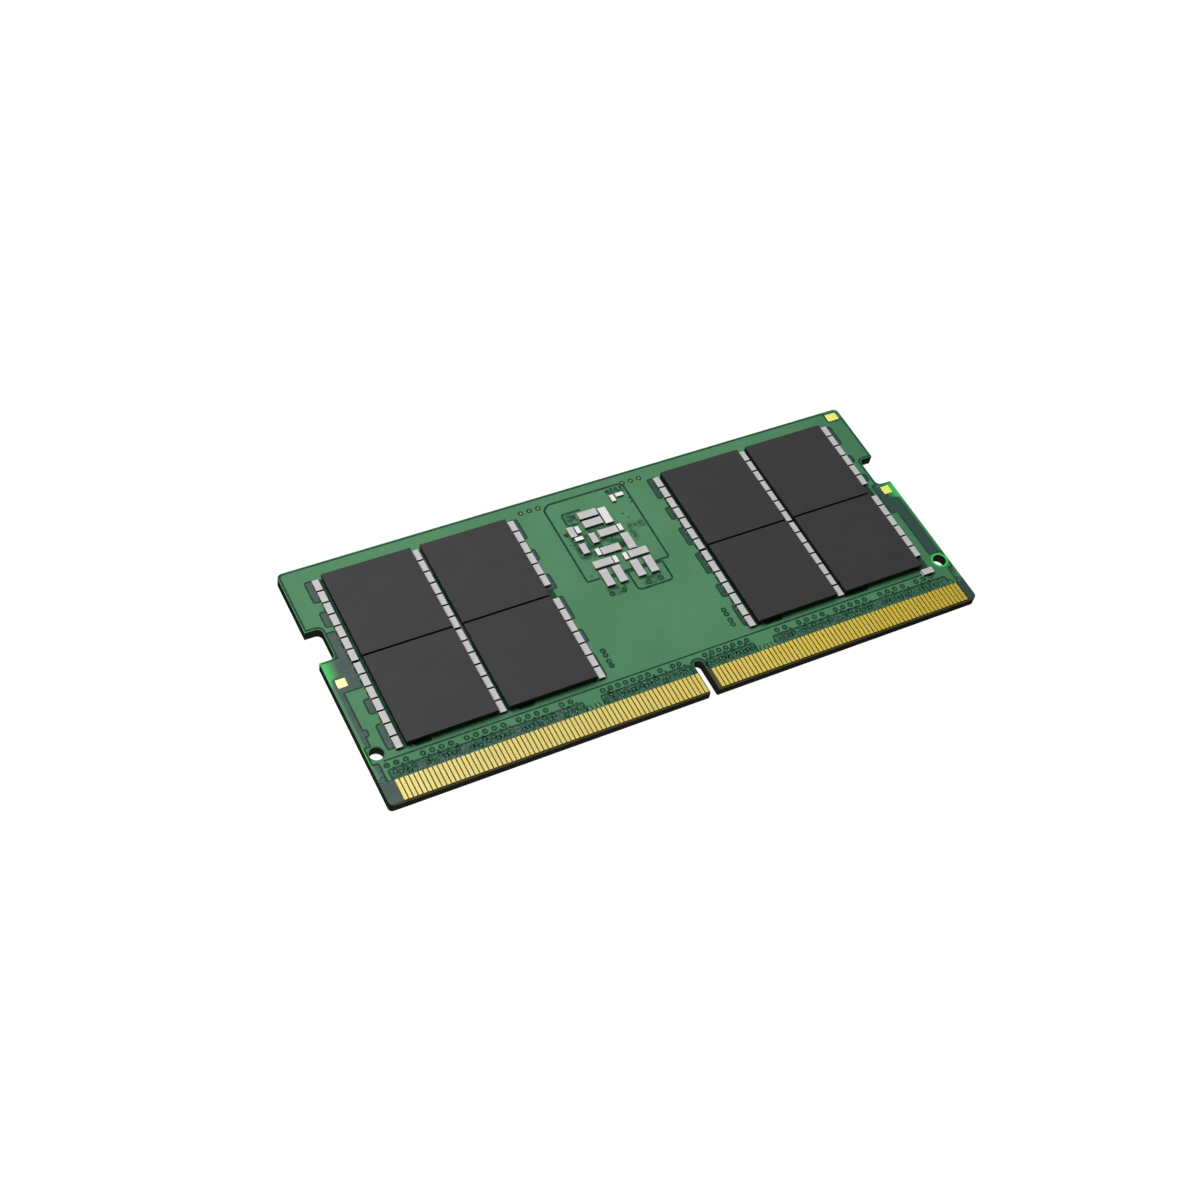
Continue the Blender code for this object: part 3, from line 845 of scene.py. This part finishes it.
def one_contact(low, high):
    """A contact with rounded corners and softened upper edges, at the origin's x."""
    half = contact_width / 2
    thick = (high.z - low.z) / mm
    foot, head = (-half, low.y / mm, 0.0), (half, high.y / mm - contact_trim, thick)
    contact = slab("contact", foot, head, contact_corner, 2)
    top = (high.z - low.z) - 0.001 * mm
    pick(contact, "EDGE", lambda edge: all(contact.data.vertices[i].co.z > top for i in edge.vertices))
    take_off(contact_soft)
    return contact


def step_top(piece, rim, rise):
    """Lifts the top face of a piece inside a narrow rim."""
    pick(piece, "FACE", lambda part: part.normal.z > 0.9)
    bpy.ops.mesh.inset(thickness=rim * mm, depth=rise * mm)
    bpy.ops.object.mode_set(mode="OBJECT")


for row, (low, high) in contact_rows.items():
    contact = one_contact(low, high)
    for side, turned in (("front", None), ("back", Matrix.Rotation(math.pi, 4, "Y"))):
        base = low.z / mm if side == "front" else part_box(f"contacts_back_{row}")[1].z / mm
        made = [copy_at(contact, x, 0, base, turned) for x in contact_places(row)]
        made = join(f"contact_row_{side}_{row}", made)
        finish_piece(made, gold, "gold_plate", [f"contacts_{side}_{row}"])
    bpy.data.objects.remove(contact)

pads = []
for x0, x1, y0, y1 in gold_pads:
    pad = slab("pad", (x0, y0, face - sunk), (x1, y1, face + pad_rise), pad_corner)
    step_top(pad, pad_rim, pad_crown)
    pad.data.materials.append(bright_gold)
    pads.append(pad)
for x, y in test_points:
    dot = disc("dot", x, y, dot_radius, face - sunk, face + dot_rise)
    step_top(dot, dot_rim, dot_crown)
    dot.data.materials.append(probed_gold)
    pads.append(dot)
finish_piece(join("gold_pads_front", pads), None, "gold_plate")


# ---------------------------------------------------------------------------------------------
# Memory packages. A silicon die moulded in black resin on a thin dark substrate, sawn to size
# and soldered down by rows of balls in two fields. Eight on each face.
resin, tree, shader, place = new_finish("black_moulded_resin", 0.62)
grain = node(tree, "TexNoise", {"Vector": place, "Scale": 14.0, "Detail": 4.0})
clouds = node(tree, "TexNoise", {"Vector": place, "Scale": 0.35, "Detail": 3.0})
colour = blend_colours(tree, ramp(tree, clouds, 0.3, 0.7), paint(37, 37, 37), paint(42, 42, 42))
colour = blend_colours(tree, ramp(tree, grain, 0.45, 0.7, 0.0, 0.5), colour, paint(50, 50, 50))
# Painted shade: the upright sides are painted near black, darker than the level faces, where little
# light falls.
facing = node(tree, "NewGeometry")
upward = node(tree, "SeparateXYZ", {"Vector": facing.outputs["Normal"]})
free_of_painted_side_shade = ramp(tree, sums(tree, "ABSOLUTE", upward.outputs["Z"]), 0.2, 0.8)
colour = blend_colours(tree, free_of_painted_side_shade, paint(3, 3, 3), colour)
coat(tree, shader, colour, ramp(tree, grain, 0.3, 0.7, 0.56, 0.70))
bumps(tree, shader, grain, 0.006 * mm, 0.5)

substrate, tree, shader, place = new_finish("dark_substrate", 0.5)
grain = node(tree, "TexNoise", {"Vector": place, "Scale": 10.0, "Detail": 3.0})
colour = blend_colours(tree, grain, paint(5, 8, 6), paint(11, 15, 11))
tree.links.new(colour.outputs[0], shader.inputs["Base Color"])
bumps(tree, shader, grain, 0.003 * mm, 0.5)

solder, tree, shader, place = new_finish("reflowed_solder", 0.38, 1.0)
grain = node(tree, "TexNoise", {"Vector": place, "Scale": 8.0, "Detail": 4.0})
colour = blend_colours(tree, grain, paint(150, 150, 148), paint(205, 204, 200))
coat(tree, shader, colour, ramp(tree, grain, 0.3, 0.7, 0.3, 0.5))
bumps(tree, shader, grain, 0.004 * mm, 0.5)

packages = [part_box(f"memory_package_front_{n}") for n in range(1, 9)]
low, high = packages[0]
half_x, half_y = (high.x - low.x) / 2 / mm, (high.y - low.y) / 2 / mm
tall = (high.z - low.z) / mm
standoff, carrier, mould_edge, carrier_corner = 0.16, 0.13, 0.035, 0.03
ball_radius, ball_pitch, ball_columns, ball_rows, inmost_column = 0.20, 0.8, 3, 12, 1.8


def soften(piece, amount, steps=1):
    """Takes off all the edges of a piece."""
    pick(piece, "EDGE", lambda edge: True)
    take_off(amount, steps)


def memory_package():
    """One package about its own middle, standing on z 0."""
    mould = block("mould", (-half_x, -half_y, standoff + carrier), (half_x, half_y, tall))
    soften(mould, mould_edge, 2)
    mould.data.materials.append(resin)
    base_box = (-half_x, -half_y, standoff), (half_x, half_y, standoff + carrier)
    base = slab("base", *base_box, carrier_corner, 1)
    base.data.materials.append(substrate)
    bpy.ops.object.select_all(action="DESELECT")
    bpy.ops.mesh.primitive_uv_sphere_add(
        segments=8, ring_count=5, radius=ball_radius * mm, location=(0, 0, standoff / 2 * mm)
    )
    ball = bpy.context.object
    ball.scale.z = standoff / (2 * ball_radius)
    settle(ball)
    bpy.ops.object.shade_smooth()
    ball.data.materials.append(solder)
    first_row = -(ball_rows - 1) / 2
    balls = [
        copy_at(ball, side * (inmost_column + ball_pitch * column), (first_row + row) * ball_pitch)
        for side in (-1, 1)
        for column in range(ball_columns)
        for row in range(ball_rows)
    ]
    bpy.data.objects.remove(ball)
    return join("package", [mould, base] + balls)


package = memory_package()
for side, turned in (("front", None), ("back", Matrix.Rotation(math.pi, 4, "X"))):
    for n in range(1, 9):
        cad_name = f"memory_package_{side}_{n}"
        low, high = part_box(cad_name)
        middle = (low + high) / 2 / mm
        base = low.z / mm if side == "front" else high.z / mm
        made = copy_at(package, middle.x, middle.y, base, turned)
        made.name = f"dram_{side}_{n}"
        finish_piece(made, None, "black_resin", [cad_name])
bpy.data.objects.remove(package)


# ---------------------------------------------------------------------------------------------
# Chip capacitors and resistors. Fired ceramic blocks with tinned ends, stood on gold-plated pads,
# with a fillet of solder where a pad reaches out past the end. Resistors are paler and smaller.
mid_board = (face + back) / 2


def top_of(cad_name):
    """How far a CAD node's top face is from the middle of the board's thickness."""
    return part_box(cad_name)[1].z / mm - mid_board


def ceramic_finish(name, dark, light, rough, top):
    """A fine-grained fired body in two near tones, painted dark grey below its top face as shade."""
    made, tree, shader, place = new_finish(name, rough)
    grain = node(tree, "TexNoise", {"Vector": place, "Scale": 11.0, "Detail": 4.0})
    soft = node(tree, "TexNoise", {"Vector": place, "Scale": 1.7, "Detail": 2.0})
    colour = blend_colours(tree, ramp(tree, grain, 0.35, 0.65), dark, light)
    colour = blend_colours(tree, ramp(tree, soft, 0.4, 0.7, 0.0, 0.3), colour, dark)
    # Painted shade: below the top face the body is painted dark grey, where little light falls on the
    # sides.
    parts = node(tree, "SeparateXYZ", {"Vector": place})
    from_core = sums(tree, "ABSOLUTE", sums(tree, "SUBTRACT", parts.outputs["Z"], mid_board))
    free_of_painted_shade_below_top = ramp(tree, from_core, top - 0.06, top - 0.02)
    colour = blend_colours(tree, free_of_painted_shade_below_top, paint(84, 84, 84), colour)
    coat(tree, shader, colour, ramp(tree, grain, 0.3, 0.7, rough - 0.05, rough + 0.1))
    bumps(tree, shader, grain, 0.004 * mm, 0.5)
    return made


grey_top = top_of("capacitors_front_left_outer")
shunt_top = top_of("shunt_resistor")
pale_top = top_of("bias_resistor_1")
ceramics = [
    ceramic_finish(name, paint(*dark), paint(*light), rough, top)
    for name, dark, light, rough, top in (
        ("grey_ceramic_body", (199, 197, 198), (210, 208, 209), 0.5, grey_top),
        ("matt_tin_ends", (203, 201, 201), (215, 213, 213), 0.42, grey_top),
        ("shunt_body", (232, 232, 231), (242, 242, 241), 0.45, shunt_top),
        ("shunt_ends", (234, 234, 233), (244, 244, 243), 0.4, shunt_top),
        ("white_cermet_body", (242, 242, 241), (252, 252, 251), 0.45, pale_top),
        ("bright_tin_ends", (243, 243, 242), (253, 253, 251), 0.4, pale_top),
    )
]
grey_body, grey_ends, shunt_body, shunt_ends, pale_body, pale_ends = ceramics
tones = paint(96, 116, 62), paint(158, 158, 84)
pad_gold = two_tone("pad_gold_under_flux", 0.4, 0.5, 4.0, (0.4, 0.6), tones, (0.4, 0.6), 0.003)


def softened(name, low, high, amount, finish):
    """A block of one finish with all its edges taken off."""
    piece = block(name, low, high)
    soften(piece, amount)
    piece.data.materials.append(finish)
    return piece


def chip_part(length, width, height, body, ends, end_lip=0.0, side_lip=0.06):
    """One chip lying along X about its own middle, its underside at z 0, pads just below it."""
    cap, waist, overlap = 0.2 * length, 0.006, 0.03
    core_edge, tin_edge, land_corner, land_root, land_top = 0.01, 0.018, 0.05, -0.06, 0.002
    inner, half = length / 2 - cap, width / 2
    core_low = (-inner - overlap, -half + waist, waist)
    core_high = (inner + overlap, half - waist, height - waist)
    pieces = [softened("core", core_low, core_high, core_edge, body)]
    for end in (-1, 1):
        near, far = sorted((end * inner, end * length / 2))
        tin = softened("tin", (near, -half, 0), (far, half, height), tin_edge, ends)
        near, far = sorted((end * (inner - overlap), end * (length / 2 + end_lip)))
        pad_low, pad_high = (near, -half - side_lip, land_root), (far, half + side_lip, land_top)
        pad = slab("pad", pad_low, pad_high, land_corner, 1)
        pad.data.materials.append(pad_gold)
        pieces += [tin, pad]
        if not end_lip:
            continue
        edge_x = end * (length / 2 + end_lip * 0.8)
        near, far = sorted((end * (length / 2 - 0.02), edge_x))
        wet_half, wet_rise = width * 0.42, height * 0.4
        wet = block("wet", (near, -wet_half, -0.01), (far, wet_half, wet_rise))

        def outer_top(part):
            points = [wet.data.vertices[i].co for i in part.vertices]
            return all(abs(p.x - edge_x * mm) < 1e-7 and p.z > 0.05 * mm for p in points)

        pick(wet, "EDGE", outer_top)
        take_off(end_lip * 0.7, 3, 0.25)
        wet.data.materials.append(solder)
        pieces.append(wet)
    return join("chip", pieces)


def place_chip(chip, low, high, side="front"):
    """A copy of a chip laid in a box, along the box's longer side, on the front or back face."""
    size, middle = (high - low) / mm, (low + high) / 2 / mm
    turn = Matrix.Identity(4) if size.x > size.y else Matrix.Rotation(math.pi / 2, 4, "Z")
    base = low.z / mm
    if side == "back":
        turn = Matrix.Rotation(math.pi, 4, "X") @ turn
        base = high.z / mm
    return copy_at(chip, middle.x, middle.y, base, turn)


# Each column has fourteen slots, seven beside each row of packages, and these stay empty.
empty_slots = {
    "left_outer": (), "left_middle": (), "left_inner": (6,),
    "right_inner": (), "right_middle": (), "right_outer": (6, 13),
}
slot_length, slot_pitch, slots_per_package, package_rows = 1.39, 1.586, 7, 2
package_row_step = packages[0][1].y - packages[4][1].y
low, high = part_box("capacitors_front_left_outer")
slot_size = Vector((high.x - low.x, slot_length * mm, high.z - low.z))
column_chip = chip_part(slot_length, slot_size.x / mm, slot_size.z / mm, grey_body, grey_ends)
for side in ("front", "back"):
    for name, missing in empty_slots.items():
        cad_name = f"capacitors_{side}_{name}"
        if cad_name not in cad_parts:
            continue
        low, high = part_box(cad_name)
        made = []
        for number in range(package_rows * slots_per_package):
            if number in missing:
                continue
            row, slot = divmod(number, slots_per_package)
            top = high.y - row * package_row_step - slot * slot_pitch * mm
            corner = Vector((low.x, top - slot_size.y, low.z))
            made.append(place_chip(column_chip, corner, corner + slot_size, side))
        column = join(f"capacitor_column_{side}_{name}", made)
        finish_piece(column, None, "grey_ceramic", [cad_name])
bpy.data.objects.remove(column_chip)

# Length, width and height of the chips of the middle.
chip_kinds = {
    "large": (2.25, 0.95, 0.34), "medium": (1.40, 0.75, 0.32), "small": (0.95, 0.50, 0.25),
}
centre_chips = {
    "large": ["input_capacitor_1", "input_capacitor_2", "shunt_resistor"]
    + [f"output_capacitor_{n}" for n in range(1, 6)]
    + [f"bulk_capacitor_{n}" for n in range(1, 5)],
    "medium": [f"filter_capacitor_{n}" for n in range(1, 4)] + ["corner_capacitor"],
    "small": [f"bias_resistor_{n}" for n in range(1, 9)],
}
lips_along_x, lips_along_y = (0.07, 0.02), (0.0, 0.07)
for kind, names in centre_chips.items():
    for cad_name in names:
        low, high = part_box(cad_name)
        lips = lips_along_x if high.x - low.x > high.y - low.y else lips_along_y
        slot_name, body, ends = "grey_ceramic", grey_body, grey_ends
        if "resistor" in cad_name:
            slot_name, body, ends = "white_cermet", pale_body, pale_ends
        if cad_name == "shunt_resistor":
            body, ends = shunt_body, shunt_ends
        original = chip_part(*chip_kinds[kind], body, ends, *lips)
        made = place_chip(original, low, high)
        made.name = f"soldered_{cad_name}"
        finish_piece(made, None, slot_name, [cad_name])
        bpy.data.objects.remove(original)


# ---------------------------------------------------------------------------------------------
# Power controller and hub chip on the underside. Moulded leadless chips with a row of tinned
# lands along each side, soldered to the back face.
land_pitch, land_half, land_depth, land_in, land_out = 0.45, 0.11, 0.10, 0.10, 0.14
land_foot, land_edge, body_edge = 0.02, 0.02, 0.03
mark_inset, mark_radius, mark_depth = 0.45, 0.16, 0.03


def leadless_chip(name, cad_name, lands_x, lands_y):
    """A moulded chip in its CAD box, hanging from the back face, with lands round its foot."""
    low, high = (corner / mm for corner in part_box(cad_name))
    body = softened(f"{name}_body", low, (high.x, high.y, high.z - land_foot), body_edge, resin)
    pieces = [body]
    middle = (low + high) / 2
    for count, along, across in ((lands_x, 0, 1), (lands_y, 1, 0)):
        for i in range(count):
            shift = middle[along] + (i - (count - 1) / 2) * land_pitch
            for end in (-1, 1):
                edge = high[across] if end > 0 else low[across]
                near, far = sorted((edge - end * land_in, edge + end * land_out))
                land_low, land_high = Vector(low), Vector(high)
                land_low[along], land_high[along] = shift - land_half, shift + land_half
                land_low[across], land_high[across] = near, far
                land_low.z, land_high.z = high.z - land_depth, high.z + land_foot
                pieces.append(softened("land", land_low, land_high, land_edge, solder))
    mark_x, mark_y = low.x + mark_inset, high.y - mark_inset
    mark = disc("tool", mark_x, mark_y, mark_radius, low.z - tool_depth, low.z + mark_depth, 16)
    cut_away(body, mark)
    finish_piece(join(name, pieces), None, "black_resin", [cad_name])


leadless_chip("power_controller_chip", "power_controller", 8, 10)
leadless_chip("hub_sensor_chip", "hub_chip", 3, 5)


# ---------------------------------------------------------------------------------------------
# Inductors of the power stage. Pressed ferrite blocks on the underside, with a tinned strap
# wrapped round each end.
ferrite, tree, shader, place = new_finish("pressed_ferrite", 0.55)
grain = node(tree, "TexNoise", {"Vector": place, "Scale": 9.0, "Detail": 5.0})
colour = blend_colours(tree, ramp(tree, grain, 0.35, 0.7), paint(44, 45, 48), paint(72, 73, 76))
tree.links.new(colour.outputs[0], shader.inputs["Base Color"])
bumps(tree, shader, grain, 0.01 * mm, 0.6)

strap_width, strap_rise, strap_edge = 0.55, 0.32, 0.03
core_edge, core_in_x, core_in_y = 0.08, 0.02, 0.03
for n in range(1, 4):
    low, high = (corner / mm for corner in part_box(f"inductor_{n}"))
    core_low = (low.x + core_in_x, low.y + core_in_y, low.z)
    core_high = (high.x - core_in_x, high.y - core_in_y, high.z - 0.02)
    pieces = [softened("core", core_low, core_high, core_edge, ferrite)]
    for x0, x1 in ((low.x, low.x + strap_width), (high.x - strap_width, high.x)):
        strap_low, strap_high = (x0, low.y, high.z - strap_rise), (x1, high.y, high.z)
        pieces.append(softened("strap", strap_low, strap_high, strap_edge, solder))
    finish_piece(join(f"wound_inductor_{n}", pieces), None, "dark_ferrite", [f"inductor_{n}"])
